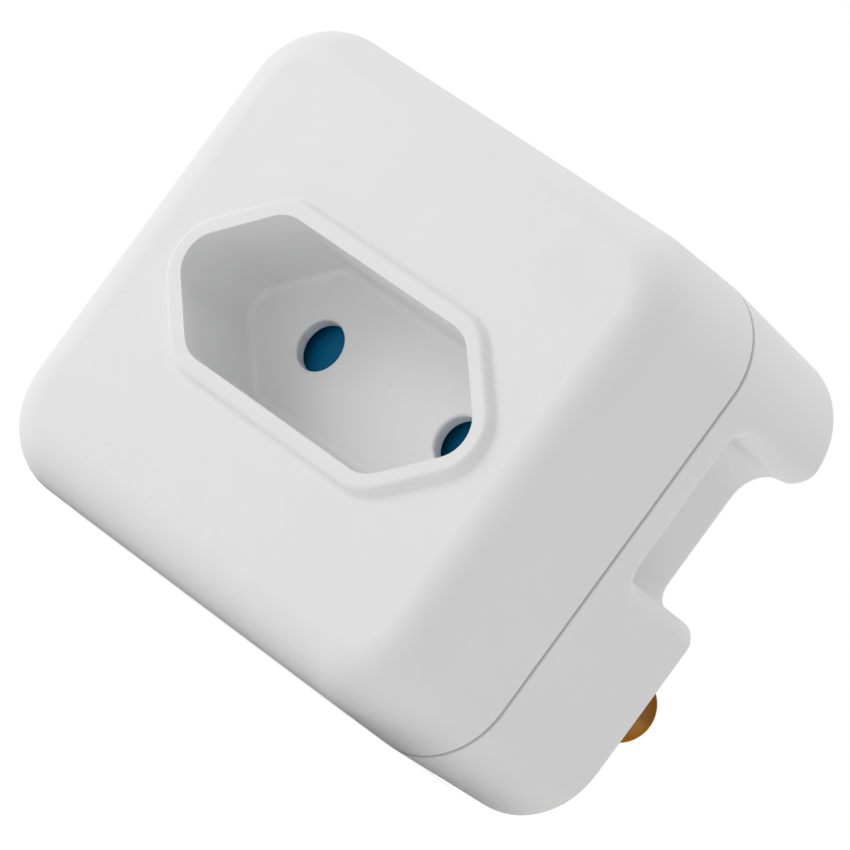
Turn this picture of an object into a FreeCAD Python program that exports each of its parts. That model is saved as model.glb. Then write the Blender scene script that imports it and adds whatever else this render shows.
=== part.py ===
import FreeCAD, Part
import math
import os
import re
import Sketcher

# Two-pin outlet adapter on a round-pin plug, with a rocker switch on its hidden side.
# X points right, Z up and Y towards the wall. The origin is on the wall face, behind
# the outlet's centre. Depths are measured from the wall face towards the viewer, so a
# depth is minus Y, and a plug pin's tip has a negative depth.

SIZES = (
    ("body_depth", 34.0, "wall face to front face"),
    ("seam_depth", 20.0, "wall face to the seam between the housings"),
    ("front_half_width", 27.8, "front face, centre to side"),
    ("seam_flare", 0.25, "seam beyond the front face, on every side"),
    ("seam_half_width", "front_half_width + seam_flare", "seam, centre to side"),
    ("rear_narrowing", 1.8, "front face's half width beyond the wall face's"),
    ("rear_half_width", "front_half_width - rear_narrowing", "wall face, centre to side"),
    ("front_half_height", 24.45, "front face, centre to top"),
    ("seam_half_height", "front_half_height + seam_flare", "seam, centre to top"),
    ("rear_half_height", "front_half_height - seam_flare", "wall face, centre to top"),
    ("outline_round", 8.0, "corner radius of the outline"),
    ("face_round", 4.6, "rounding of the front face's edge"),
    ("rear_round", 1.6, "rounding of the wall face's edge"),
    ("wall", 1.8, "side wall"),
    ("rear_wall", 2.5, "wall that the plug pins stand in"),
    ("seam_chamfer", 0.25, "half of the groove along the seam"),
    ("tongue_height", 1.2, "locating tongue above the seam"),
    ("tongue_wall", 0.9, "thickness of the locating tongue"),
    ("fit_gap", 0.1, "clearance between moulded parts"),
    ("recess_half_width", 20.3, "outlet recess at its mouth, centre to side point"),
    ("recess_flat", 12.05, "outlet recess, half of the flat top"),
    ("recess_half_height", 7.57, "outlet recess, centre to flat top"),
    ("recess_depth", 10.4, "front face to the recess floor"),
    ("recess_draft", 2.0, "draft of the recess walls in degrees"),
    ("recess_side_round", 3.1, "rounding at the recess side points"),
    ("recess_corner_round", 4.0, "rounding at the recess corners"),
    ("floor_round", 0.7, "fillet round the recess floor"),
    ("rim_width", 1.6, "width of the raised rim"),
    ("rim_height", 0.8, "height of the raised rim"),
    ("rim_round", 0.5, "rounding of the rim's outer edge"),
    ("rim_foot", 0.5, "fillet at the rim's foot"),
    ("well_wall", 1.4, "wall of the outlet well"),
    ("floor_thickness", 1.3, "floor that the pin holes go through"),
    ("socket_spacing", 19.0, "between the two outlet holes"),
    ("socket_hole", 2.45, "radius of an outlet hole"),
    ("socket_hole_round", 0.3, "rounding of an outlet hole's edge"),
    ("grip_bite", 5.9, "finger grip, deep into the side at the wall face"),
    ("grip_floor", "rear_half_width - grip_bite", "finger grip floor, from the centre plane"),
    ("grip_low", -0.9, "lower side of the finger grip"),
    ("grip_high", 14.2, "upper side of the finger grip"),
    ("grip_depth", 14.8, "wall face to the front end of the finger grip"),
    ("grip_round", 2.0, "inner rounding of the finger grip"),
    ("grip_lip", 1.3, "rounding of the finger grip's mouth"),
    ("screw_inset", 6.8, "housing screw, in from the front face's side"),
    ("screw_across", "front_half_width - screw_inset", "housing screw, from the centre plane sideways"),
    ("screw_drop", 6.45, "housing screw, down from the front face's top"),
    ("screw_up", "front_half_height - screw_drop", "housing screw, from the centre plane upwards"),
    ("screw_boss", 2.7, "radius of a front housing's screw boss"),
    ("screw_tube", 3.6, "radius of a rear housing's screw tube"),
    ("screw_shank", 1.45, "radius of a housing screw's thread"),
    ("screw_head", 2.6, "radius of a housing screw's head"),
    ("screw_head_height", 1.9, "height of a housing screw's head"),
    ("screw_seat", 9.0, "depth of the seat under a housing screw's head"),
    ("screw_reach", 7.0, "housing screw's bite into the front housing"),
    ("screw_gap", 0.05, "clearance round a screw's thread"),
    ("pilot_spare", 1.0, "pilot hole beyond a housing screw's end"),
    ("cross_reach", 0.6, "length of a screw's cross recess, as a share of its head"),
    ("cross_width", 0.14, "width of a screw's cross recess, as a share of its head"),
    ("head_gap", 0.3, "clearance round a screw's head"),
    ("live_radius", 3.53, "radius of the live and neutral pins"),
    ("earth_radius", 4.355, "radius of the earth pin"),
    ("live_length", 17.4, "live and neutral pins, beyond the wall face"),
    ("earth_length", 28.6, "earth pin, beyond the wall face"),
    ("pin_spacing", 25.4, "between the live and neutral pins"),
    ("pin_row", -9.9, "height of the live and neutral pins"),
    ("earth_rise", 28.6, "earth pin above the other two"),
    ("tip_flat", 0.07, "flat left on a pin's ball end"),
    ("pin_relief", 0.3, "depth of the groove at a pin's root"),
    ("pin_relief_length", 0.3, "how far that groove stands out of the wall face"),
    ("pin_seat", 1.0, "how deep the pins' shoulders sit in the wall"),
    ("pin_gap", 0.05, "clearance round a pin's shoulder"),
    ("stud_radius", 2.0, "threaded stud behind each pin"),
    ("stud_length", 5.6, "stud, from the shoulder to its end"),
    ("stud_chamfer", 0.35, "chamfer on the end of a stud"),
    ("nut_flats", 3.5, "nut, centre to flat"),
    ("nut_height", 2.4, "height of a nut"),
    ("strap_thickness", 0.8, "thickness of the brass straps"),
    ("strap_width", 3.0, "width of the brass straps"),
    ("eye_radius", 3.7, "eye of a strap, under a nut"),
    ("strap_gap", 1.0, "live strap to the neutral pin's eye"),
    ("tab_half", 1.0, "half width of a strap's tab on a sleeve"),
    ("tab_length", 1.6, "length of a strap's tab on a sleeve"),
    ("shutter_travel", 6.6, "how far the shutter slides"),
    ("shutter_thickness", 3.2, "shutter, front to back"),
    ("shutter_half_height", 3.6, "shutter, centre to top"),
    ("shutter_left", -20.0, "left end of the shutter"),
    ("shutter_spare", 1.3, "shutter's end to the carrier's wall when it is fully open"),
    ("shutter_gap", 0.15, "clearance in front of and behind the shutter"),
    ("aperture_width", 5.3, "shutter opening, sideways"),
    ("aperture_half_height", 2.65, "shutter opening, centre to top"),
    ("ramp_length", 5.0, "ramp that a plug's pin pushes on"),
    ("ramp_foot", 1.9, "shutter's thickness at the foot of the ramp"),
    ("spring_wire", 0.15, "radius of the spring wire"),
    ("spring_radius", 0.9, "shutter spring, centre to wire centre"),
    ("spring_turns", 7.0, "turns of the shutter spring"),
    ("plunger_spring_turns", 2.0, "turns of the plunger's spring"),
    ("spring_pocket", 1.2, "radius of the spring's pocket in the shutter"),
    ("pocket_depth", 1.8, "depth of the spring's pocket"),
    ("carrier_thickness", 1.8, "carrier's base plate"),
    ("carrier_half_height", 5.6, "carrier, centre to top"),
    ("carrier_left", -21.6, "left end of the carrier"),
    ("carrier_right", 22.0, "right end of the carrier"),
    ("carrier_end", 1.5, "thickness of the carrier's end walls"),
    ("carrier_ear", 2.8, "half width of a carrier ear"),
    ("carrier_screw_up", 11.9, "carrier screw, above or below the centre"),
    ("carrier_screw_shank", 1.1, "radius of a carrier screw's thread"),
    ("carrier_screw_head", 1.9, "radius of a carrier screw's head"),
    ("carrier_screw_head_height", 1.3, "height of a carrier screw's head"),
    ("carrier_screw_length", 9.0, "carrier screw under its head"),
    ("sleeve_bore", 2.05, "inner radius of a socket contact"),
    ("sleeve_outer", 3.1, "outer radius of a socket contact"),
    ("sleeve_back", 5.2, "depth of a socket contact's rear end"),
    ("sleeve_flange", 3.9, "radius of a socket contact's flange"),
    ("flange_thickness", 0.8, "thickness of that flange"),
    ("slit_width", 0.7, "slit of a socket contact"),
    ("slit_length", 8.0, "length of that slit"),
    ("clip_thickness", 0.5, "steel clip round a socket contact"),
    ("clip_width", 3.0, "width of that clip"),
    ("clip_back", 7.0, "depth of the clip's rear edge"),
    ("clip_clear", 0.5, "clip to the switched strap's tab"),
    ("rocker_inset", 3.3, "rocker axle, in from the front face's side"),
    ("rocker_across", "front_half_width - rocker_inset", "rocker axle, from the centre plane"),
    ("rocker_height", -10.5, "height of the rocker axle"),
    ("rocker_width", 6.6, "rocker, front to back"),
    ("rocker_rise", 1.8, "seam to the rocker's side"),
    ("rocker_depth", "seam_depth + rocker_rise + rocker_width / 2", "depth of the rocker's middle"),
    ("rocker_sweep", 6.3, "radius that the rocker's ends turn on"),
    ("rocker_crown", 3.75, "rocker's middle, outward from its axle"),
    ("rocker_skirt", 1.2, "rocker's inner edge, outward from its axle"),
    ("rocker_hub", 1.9, "radius of the rocker's hub and stem"),
    ("rocker_stem", 4.2, "length of the rocker's stem"),
    ("rocker_tilt", 7.0, "rocker's tilt each way in degrees"),
    ("rocker_gap", 0.2, "clearance round the rocker"),
    ("axle_radius", 0.8, "radius of the rocker's axle"),
    ("axle_fit", 0.05, "running clearance round the axle"),
    ("plunger_radius", 1.15, "radius of the plunger"),
    ("plunger_bore", 1.25, "radius of the plunger's bore"),
    ("plunger_back", 3.0, "plunger's rear end, inward from the axle"),
    ("plunger_tip", 5.5, "plunger's tip, inward from the axle"),
    ("bore_bottom", 1.5, "bottom of the plunger's bore, inward from the axle"),
    ("lever_gap", 0.15, "plunger's tip to the lever"),
    ("lever_thickness", 0.8, "thickness of the see-saw lever"),
    ("lever_width", 3.4, "width of the see-saw lever"),
    ("lever_up", 4.2, "lever above its fulcrum"),
    ("lever_down", 5.0, "lever below its fulcrum"),
    ("fulcrum_radius", 0.8, "half-round fulcrum under the lever"),
    ("fulcrum_gap", 0.05, "clearance between lever and fulcrum"),
    ("tip_radius", 1.0, "radius of a contact tip"),
    ("tip_height", 0.5, "height of a contact tip"),
    ("tip_crown", 3.0, "radius of a contact tip's domed face"),
    ("tip_drop", 3.9, "contact tips below the fulcrum"),
    ("tip_margin", 0.3, "strap's edge beyond its contact tip"),
    ("lever_notch", 0.5, "notches that keep the lever on its fulcrum"),
    ("tip_gap", 0.35, "fixed tip, inward from the lever's fulcrum axis"),
    ("blade_rise", 3.2, "rocker's middle to the front end of the straps' blades"),
    ("blade_depth", "rocker_depth + blade_rise", "front end of the straps' blades"),
    ("frame_cheek", 1.4, "thickness of the switch frame's cheeks"),
    ("frame_high", -6.0, "top of the switch frame"),
    ("frame_clear", 0.4, "clearance of the switch frame below the outlet well"),
    ("frame_floor", 1.4, "thickness of the switch frame's inner wall"),
    ("rest_inward", 1.0, "rests of the switch frame, inward from the axle"),
    ("rest_size", 2.2, "side of the square rests of the switch frame"),
    ("rest_rise", 3.0, "rests of the switch frame, above its lower edge"),
    ("overcut", 1.0, "how far cuts run past the material"),
)

document = FreeCAD.newDocument("EuroAdapter")
sheet = document.addObject("Spreadsheet::Sheet", "Sizes")
for row, (alias, size, meaning) in enumerate(SIZES, start=1):
    sheet.set("A%d" % row, meaning)
    sheet.setAlias("B%d" % row, alias)
# A size given as text follows from others, which need their names first.
for row, (alias, size, meaning) in enumerate(SIZES, start=1):
    sheet.set("B%d" % row, "=" + size if isinstance(size, str) else str(size))
document.recompute()

ALIASES = {alias for alias, size, meaning in SIZES}
WORD = re.compile(r"[a-z_]+")
POINT = FreeCAD.Vector
ALONG_Y = FreeCAD.Rotation(POINT(1, 0, 0), 90)
ALONG_X = FreeCAD.Rotation(POINT(0, 1, 0), 90)


# Formulas name sizes of the sheet

def formula(text):
    """Put the sheet's name before each of its sizes."""
    def prefixed(word):
        return "Sizes." + word.group() if word.group() in ALIASES else word.group()
    return WORD.sub(prefixed, text)


def value(text):
    """The number that a formula gives now."""
    return float(sheet.evalExpression(formula(text)))


def bind(item, field, text):
    """Tie a property to a formula."""
    item.setExpression(field, formula(text))


def minus(text):
    """The formula with its sign turned."""
    return "-(%s)" % text


def half_width(depth):
    """Half of the rear housing's width at a depth."""
    return "(rear_half_width + (seam_half_width - rear_half_width) * (%s) / seam_depth)" % depth


def half_height(depth):
    """Half of the rear housing's height at a depth."""
    return "(rear_half_height + (seam_half_height - rear_half_height) * (%s) / seam_depth)" % depth


# Plain solids and how they are joined

def place(item, x, depth, z):
    """Put an item's base at a place."""
    bind(item, "Placement.Base.x", x)
    bind(item, "Placement.Base.y", minus(depth))
    bind(item, "Placement.Base.z", z)


def block(name, x, depth, z):
    """A box between pairs of formulas, low and high."""
    item = document.addObject("Part::Box", name)
    for field, pair in (("Length", x), ("Width", depth), ("Height", z)):
        bind(item, field, "(%s) - (%s)" % (pair[1], pair[0]))
    place(item, x[0], depth[1], z[0])
    return item


def rod(name, x, z, depth, radius):
    """A cylinder from the first depth to the second."""
    item = document.addObject("Part::Cylinder", name)
    item.Placement.Rotation = ALONG_Y
    bind(item, "Radius", radius)
    bind(item, "Height", "(%s) - (%s)" % (depth[1], depth[0]))
    place(item, x, depth[0], z)
    return item


def cross_rod(name, x, depth, z, radius):
    """A cylinder along X between a pair of formulas."""
    item = document.addObject("Part::Cylinder", name)
    item.Placement.Rotation = ALONG_X
    bind(item, "Radius", radius)
    bind(item, "Height", "(%s) - (%s)" % (x[1], x[0]))
    place(item, x[0], depth, z)
    return item


def fuse(name, items):
    """One solid from several."""
    item = document.addObject("Part::MultiFuse", name)
    item.Shapes = items
    item.Refine = True
    return item


def cut(name, base, tools):
    """A solid with other solids taken out."""
    tool = tools[0]
    if len(tools) > 1:
        tool = document.addObject("Part::MultiFuse", name + "_cuts")
        tool.Shapes = tools
    item = document.addObject("Part::Cut", name)
    item.Base = base
    item.Tool = tool
    return item


def common(name, items):
    """What several solids share."""
    item = document.addObject("Part::MultiCommon", name)
    item.Shapes = items
    return item


def group(name, items):
    """Separate solids under one name."""
    item = document.addObject("Part::Compound", name)
    item.Links = items
    return item


# Sketches and the features that use them

def new_body(name):
    """An empty body with its name as label."""
    body = document.addObject("PartDesign::Body", name)
    body.Label = name
    return body


def new_sketch(body, name, plane, x="0", y="0", z="0"):
    """A sketch on one of the body's planes, shifted by formulas in the plane's own axes."""
    sketch = body.newObject("Sketcher::SketchObject", name)
    planes = {feature.Role: feature for feature in body.Origin.OriginFeatures}
    sketch.AttachmentSupport = [(planes[plane], "")]
    sketch.MapMode = "FlatFace"
    for axis, text in (("x", x), ("y", y), ("z", z)):
        bind(sketch, "AttachmentOffset.Base." + axis, text)
    return sketch


def at_depth(body, name, depth):
    """A sketch that faces the viewer, with X right and Z up."""
    return new_sketch(body, name, "XZ_Plane", z=depth)


def hold(sketch, kind, where, text):
    """Add a sketch constraint and tie it to a formula."""
    number = sketch.addConstraint(Sketcher.Constraint(kind, *where, value(text)))
    bind(sketch, "Constraints[%d]" % number, text)


def hold_point(sketch, line, end, x, y):
    """Hold one point of a sketch at formulas."""
    hold(sketch, "DistanceX", (-1, 1, line, end), x)
    hold(sketch, "DistanceY", (-1, 1, line, end), y)


def add_outline(sketch, points):
    """A closed outline of straight lines through formulas."""
    start = sketch.GeometryCount
    count = len(points)
    spots = [POINT(value(x), value(y), 0) for x, y in points]
    for number, spot in enumerate(spots):
        sketch.addGeometry(Part.LineSegment(spot, spots[(number + 1) % count]), False)
    for number in range(count):
        follower = start + (number + 1) % count
        sketch.addConstraint(Sketcher.Constraint("Coincident", start + number, 2, follower, 1))
    for number, (x, y) in enumerate(points):
        hold_point(sketch, start + number, 1, x, y)


def add_circle(sketch, x, y, radius):
    """A circle at formulas."""
    circle = Part.Circle(POINT(value(x), value(y), 0), POINT(0, 0, 1), value(radius))
    number = sketch.addGeometry(circle, False)
    hold_point(sketch, number, 3, x, y)
    hold(sketch, "Radius", (number,), radius)


def add_rounded(sketch, half_wide, half_high, radius):
    """A rectangle about the centre with round corners."""
    wide, high, bend = value(half_wide), value(half_high), value(radius)
    start = sketch.GeometryCount
    corners = ((1, -1), (1, 1), (-1, 1), (-1, -1))
    for number, (right, up) in enumerate(corners):
        centre = POINT(right * (wide - bend), up * (high - bend), 0)
        begin = math.radians(-90 + 90 * number)
        circle = Part.Circle(centre, POINT(0, 0, 1), bend)
        sketch.addGeometry(Part.ArcOfCircle(circle, begin, begin + math.pi / 2), False)
    for number in range(4):
        arc, follower = sketch.Geometry[start + number], sketch.Geometry[start + (number + 1) % 4]
        sketch.addGeometry(Part.LineSegment(arc.EndPoint, follower.StartPoint), False)
    for number, (right, up) in enumerate(corners):
        arc, line = start + number, start + 4 + number
        follower = start + (number + 1) % 4
        sketch.addConstraint(Sketcher.Constraint("Tangent", arc, 2, line, 1))
        sketch.addConstraint(Sketcher.Constraint("Tangent", line, 2, follower, 1))
        across = "%d * ((%s) - (%s))" % (right, half_wide, radius)
        upward = "%d * ((%s) - (%s))" % (up, half_high, radius)
        hold_point(sketch, arc, 3, across, upward)
    hold(sketch, "Radius", (start,), radius)


def add_rounded_outline(sketch, corners):
    """A closed outline, anticlockwise, through (x, y, radius) formulas, each corner a tangent arc."""
    count = len(corners)
    spots = [POINT(value(x), value(y), 0) for x, y, radius in corners]
    start = sketch.GeometryCount
    for number, (x, y, radius) in enumerate(corners):
        sketch.addGeometry(Part.Point(spots[number]), True)
        hold_point(sketch, start + number, 1, x, y)
    ends = []
    for number, (x, y, radius) in enumerate(corners):
        spot, bend = spots[number], value(radius)
        before = (spots[number - 1] - spot).normalize()
        after = (spots[(number + 1) % count] - spot).normalize()
        half_angle = before.getAngle(after) / 2
        reach = bend / math.tan(half_angle)
        centre = spot + (before + after).normalize() * (bend / math.sin(half_angle))
        begin, end = spot + before * reach, spot + after * reach
        angles = [math.atan2(point.y - centre.y, point.x - centre.x) for point in (begin, end)]
        sketch.addGeometry(Part.ArcOfCircle(Part.Circle(centre, POINT(0, 0, 1), bend), *angles), False)
        ends.append((begin, end))
    arcs, lines = start + count, start + 2 * count
    for number in range(count):
        follower = (number + 1) % count
        sketch.addGeometry(Part.LineSegment(ends[number][1], ends[follower][0]), False)
    for number, (x, y, radius) in enumerate(corners):
        follower = (number + 1) % count
        line = lines + number
        sketch.addConstraint(Sketcher.Constraint("Tangent", arcs + number, 2, line, 1))
        sketch.addConstraint(Sketcher.Constraint("Tangent", line, 2, arcs + follower, 1))
        sketch.addConstraint(Sketcher.Constraint("PointOnObject", start + number, 1, line))
        sketch.addConstraint(Sketcher.Constraint("PointOnObject", start + follower, 1, line))
        hold(sketch, "Radius", (arcs + number,), radius)


def feature(body, kind, name, profile, **fields):
    """A sketch-based feature. Fields given as text are tied to formulas."""
    item = body.newObject("PartDesign::" + kind, name)
    item.Profile = profile
    for field, content in fields.items():
        if isinstance(content, str):
            bind(item, field, content)
        else:
            setattr(item, field, content)
    document.recompute()
    return check(item)


def pad(body, name, profile, length, **fields):
    """Material from the sketch towards the viewer."""
    return feature(body, "Pad", name, profile, Length=length, **fields)


def pocket(body, name, profile, length, **fields):
    """A cut from the sketch towards the viewer, which has to take something away."""
    before = body.Shape.Volume
    fields.setdefault("Reversed", True)
    item = feature(body, "Pocket", name, profile, Length=length, **fields)
    if not item.Shape.Volume < before:
        raise RuntimeError(name + " takes nothing away")
    return item


def loft(body, kind, name, profile, *others):
    """A straight loft from one sketch through the others."""
    item = body.newObject("PartDesign::" + kind, name)
    item.Profile = profile
    item.Sections = list(others)
    item.Ruled = True
    document.recompute()
    return check(item)


def revolve(body, name, profile):
    """A full turn about the sketch's own upright axis."""
    item = body.newObject("PartDesign::Revolution", name)
    item.Profile = profile
    item.ReferenceAxis = (profile, ["V_Axis"])
    item.Angle = 360
    document.recompute()
    return check(item)


def check(item):
    """Stop at a feature that didn't work."""
    if "Invalid" in item.State or item.Shape.isNull() or not item.Shape.isValid():
        raise RuntimeError("%s failed: %s" % (item.Name, item.State))
    return item


def dress(body, kind, name, test, field, text):
    """Round or chamfer the edges of the body that pass a test."""
    base = body.Tip
    names = []
    for number, edge in enumerate(base.Shape.Edges, start=1):
        if test(edge):
            names.append("Edge%d" % number)
    if not names:
        raise RuntimeError(name + " finds no edge")
    item = body.newObject("PartDesign::" + kind, name)
    item.Base = (base, names)
    bind(item, field, text)
    document.recompute()
    return check(item)


def fillet(body, name, test, radius):
    """Round the edges that pass a test."""
    return dress(body, "Fillet", name, test, "Radius", radius)


def chamfer(body, name, test, size):
    """Chamfer the edges that pass a test."""
    return dress(body, "Chamfer", name, test, "Size", size)


def box_of(edge):
    """An edge's lowest and highest corner, with depths in place of Y."""
    limits = edge.BoundBox
    return (limits.XMin, -limits.YMax, limits.ZMin), (limits.XMax, -limits.YMin, limits.ZMax)


# How finely a spring's wire is divided, and how the sweep joins its runs.
RUNS_PER_TURN = 10
WIRE_SIDES = 8
SHARP_JOINTS = 1

# Two places closer than this are one, and an edge this far inside an outline isn't on it.
NEAR = 0.02
INSIDE = 0.5


def at_plane(depth):
    """A test for edges that lie in one depth plane."""
    level = value(depth)

    def test(edge):
        low, high = box_of(edge)
        return abs(low[1] - level) < NEAR and abs(high[1] - level) < NEAR
    return test


# Places that several pieces share

FRONT_INSIDE = "(body_depth - wall)"
RIM_TOP = "(body_depth + rim_height)"
RECESS_FLOOR = "(body_depth - recess_depth)"
FLOOR_BACK = "(body_depth - recess_depth - floor_thickness)"
SHUTTER_FRONT = "(%s - shutter_gap)" % FLOOR_BACK
SHUTTER_BACK = "(%s - shutter_thickness)" % SHUTTER_FRONT
CARRIER_FRONT = "(%s - shutter_gap)" % SHUTTER_BACK
CARRIER_BACK = "(%s - carrier_thickness)" % CARRIER_FRONT
SHUTTER_RIGHT = "(carrier_right - carrier_end - shutter_travel - shutter_spare)"
SPRING_DEPTH = "(%s + shutter_thickness / 2)" % SHUTTER_BACK
GRIP_FRONT = "(grip_depth + wall)"
EARTH_HEIGHT = "(pin_row + earth_rise)"
LIVE_ACROSS = "(pin_spacing / 2)"
SOCKET_ACROSS = "(socket_spacing / 2)"
STRAP_TOP = "(rear_wall + strap_thickness)"
LEVER_OUTSIDE = "(rocker_across - plunger_tip - lever_gap)"
FULCRUM = "(%s - lever_thickness - fulcrum_gap - fulcrum_radius)" % LEVER_OUTSIDE
FIXED_FACE = "(%s - tip_gap)" % FULCRUM
SWITCH_FRONT = "(rocker_depth + rocker_width / 2 + rocker_gap)"
SWITCH_BACK = "(rocker_depth - rocker_width / 2 - rocker_gap)"
LIVE_RUN_LOW = "(pin_row - eye_radius - strap_gap - strap_width)"
LIVE_BLADE_HIGH = "(rocker_height - tip_drop + tip_radius + tip_margin)"
TAB_SEAT = "-(sleeve_outer + fit_gap / 2)"
FRAME_LOW = "-(screw_up - screw_boss - 2 * fit_gap)"
REST = [("-rocker_across + rest_inward", "%s + rest_rise" % FRAME_LOW),
        ("-rocker_across + rest_inward + rest_size", "%s + rest_rise" % FRAME_LOW),
        ("-rocker_across + rest_inward + rest_size", "%s + rest_rise + rest_size" % FRAME_LOW),
        ("-rocker_across + rest_inward", "%s + rest_rise + rest_size" % FRAME_LOW)]
SIDES = ((1, "right"), (-1, "left"))
CORNERS = ((1, 1), (1, -1), (-1, 1), (-1, -1))


def hexagon(grow):
    """The outlet's six rounded corners, set outward by a formula."""
    # The slanted sides move out along their own normal, so the wall keeps an even thickness.
    slope = "((recess_half_width - recess_flat) / recess_half_height)"
    leg = "(%s) * sqrt(1 + %s ^ 2)" % (grow, slope)
    side = "(recess_half_width + %s)" % leg
    high = "(recess_half_height + (%s))" % grow
    flat = "(%s - %s * %s)" % (side, high, slope)
    end_round = "recess_side_round + (%s)" % grow
    corner_round = "recess_corner_round + (%s)" % grow
    return [(side, "0", end_round), (flat, high, corner_round), (minus(flat), high, corner_round),
            (minus(side), "0", end_round), (minus(flat), minus(high), corner_round),
            (flat, minus(high), corner_round)]


# Front housing

def front_housing():
    """The shell with the outlet well, its raised rim, the switch opening and the bosses."""
    body = new_body("front_housing")
    seam = at_depth(body, "front_seam_outline", "seam_depth")
    add_rounded(seam, "seam_half_width - seam_chamfer", "seam_half_height - seam_chamfer",
                "outline_round - seam_chamfer")
    groove = at_depth(body, "front_groove_outline", "seam_depth + seam_chamfer")
    add_rounded(groove, "seam_half_width", "seam_half_height", "outline_round")
    face = at_depth(body, "front_face_outline", "body_depth")
    add_rounded(face, "front_half_width", "front_half_height", "outline_round")
    loft(body, "AdditiveLoft", "front_shell", seam, groove, face)
    fillet(body, "front_face_edge", at_plane("body_depth"), "face_round")
    hollow = at_depth(body, "front_hollow_outline", "seam_depth")
    add_rounded(hollow, "front_half_width - wall", "front_half_height - wall", "outline_round - wall")
    pocket(body, "front_hollow", hollow, "body_depth - seam_depth - wall")
    fillet(body, "front_hollow_edge", at_plane(FRONT_INSIDE), "face_round - wall")
    opening = at_depth(body, "switch_opening_outline", SWITCH_BACK)
    add_circle(opening, "-rocker_across", "rocker_height", "rocker_sweep + rocker_gap")
    pocket(body, "switch_opening", opening, "rocker_width + 2 * rocker_gap")
    well = at_depth(body, "well_outline", FLOOR_BACK)
    add_rounded_outline(well, hexagon("well_wall"))
    pad(body, "well", well, "recess_depth + floor_thickness - wall / 2")
    rim = at_depth(body, "rim_outline", "body_depth - wall / 2")
    add_rounded_outline(rim, hexagon("rim_width"))
    pad(body, "rim", rim, "rim_height + wall / 2")
    fillet(body, "rim_edge", at_plane(RIM_TOP), "rim_round")
    foot_limit = value("front_half_width - face_round") - INSIDE

    def rim_foot_test(edge):
        low, high = box_of(edge)
        return at_plane("body_depth")(edge) and max(abs(low[0]), abs(high[0])) < foot_limit
    fillet(body, "rim_foot", rim_foot_test, "rim_foot")
    recess = at_depth(body, "recess_outline", RIM_TOP)
    add_rounded_outline(recess, hexagon("0"))
    pocket(body, "recess", recess, "recess_depth + rim_height", Reversed=False, TaperAngle="-recess_draft")
    fillet(body, "recess_floor_edge", at_plane(RECESS_FLOOR), "floor_round")
    holes = at_depth(body, "socket_holes_outline", FLOOR_BACK)
    for sign, name in SIDES:
        add_circle(holes, "%d * %s" % (sign, SOCKET_ACROSS), "0", "socket_hole")
    pocket(body, "socket_holes", holes, "floor_thickness")

    def hole_test(edge):
        low, high = box_of(edge)
        round_hole = abs((high[0] - low[0]) - 2 * value("socket_hole")) < NEAR
        return at_plane(RECESS_FLOOR)(edge) and round_hole
    fillet(body, "socket_hole_edges", hole_test, "socket_hole_round")
    bosses = at_depth(body, "screw_boss_outlines", "seam_depth")
    for right, up in CORNERS:
        add_circle(bosses, "%d * screw_across" % right, "%d * screw_up" % up, "screw_boss")
    pad(body, "screw_bosses", bosses, "body_depth - seam_depth - wall + wall / 4")
    carrier_bosses = at_depth(body, "carrier_boss_outlines", CARRIER_FRONT)
    for up in (1, -1):
        add_circle(carrier_bosses, "0", "%d * carrier_screw_up" % up, "carrier_ear")
    pad(body, "carrier_bosses", carrier_bosses, "%s - %s + wall / 4" % (FRONT_INSIDE, CARRIER_FRONT))
    rest_depth = "(%s + frame_cheek + fit_gap)" % SWITCH_FRONT
    rest = at_depth(body, "front_rest_outline", rest_depth)
    add_outline(rest, REST)
    pad(body, "front_rest", rest, "%s - %s + wall / 4" % (FRONT_INSIDE, rest_depth))
    pilots = at_depth(body, "screw_pilot_outlines", "seam_depth")
    for right, up in CORNERS:
        add_circle(pilots, "%d * screw_across" % right, "%d * screw_up" % up, "screw_shank + screw_gap")
    pocket(body, "screw_pilots", pilots, "screw_reach + pilot_spare")
    carrier_pilots = at_depth(body, "carrier_pilot_outlines", CARRIER_FRONT)
    for up in (1, -1):
        add_circle(carrier_pilots, "0", "%d * carrier_screw_up" % up, "carrier_screw_shank + screw_gap")
    pocket(body, "carrier_pilots", carrier_pilots, "carrier_screw_length")
    return body


# Rear housing

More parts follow.
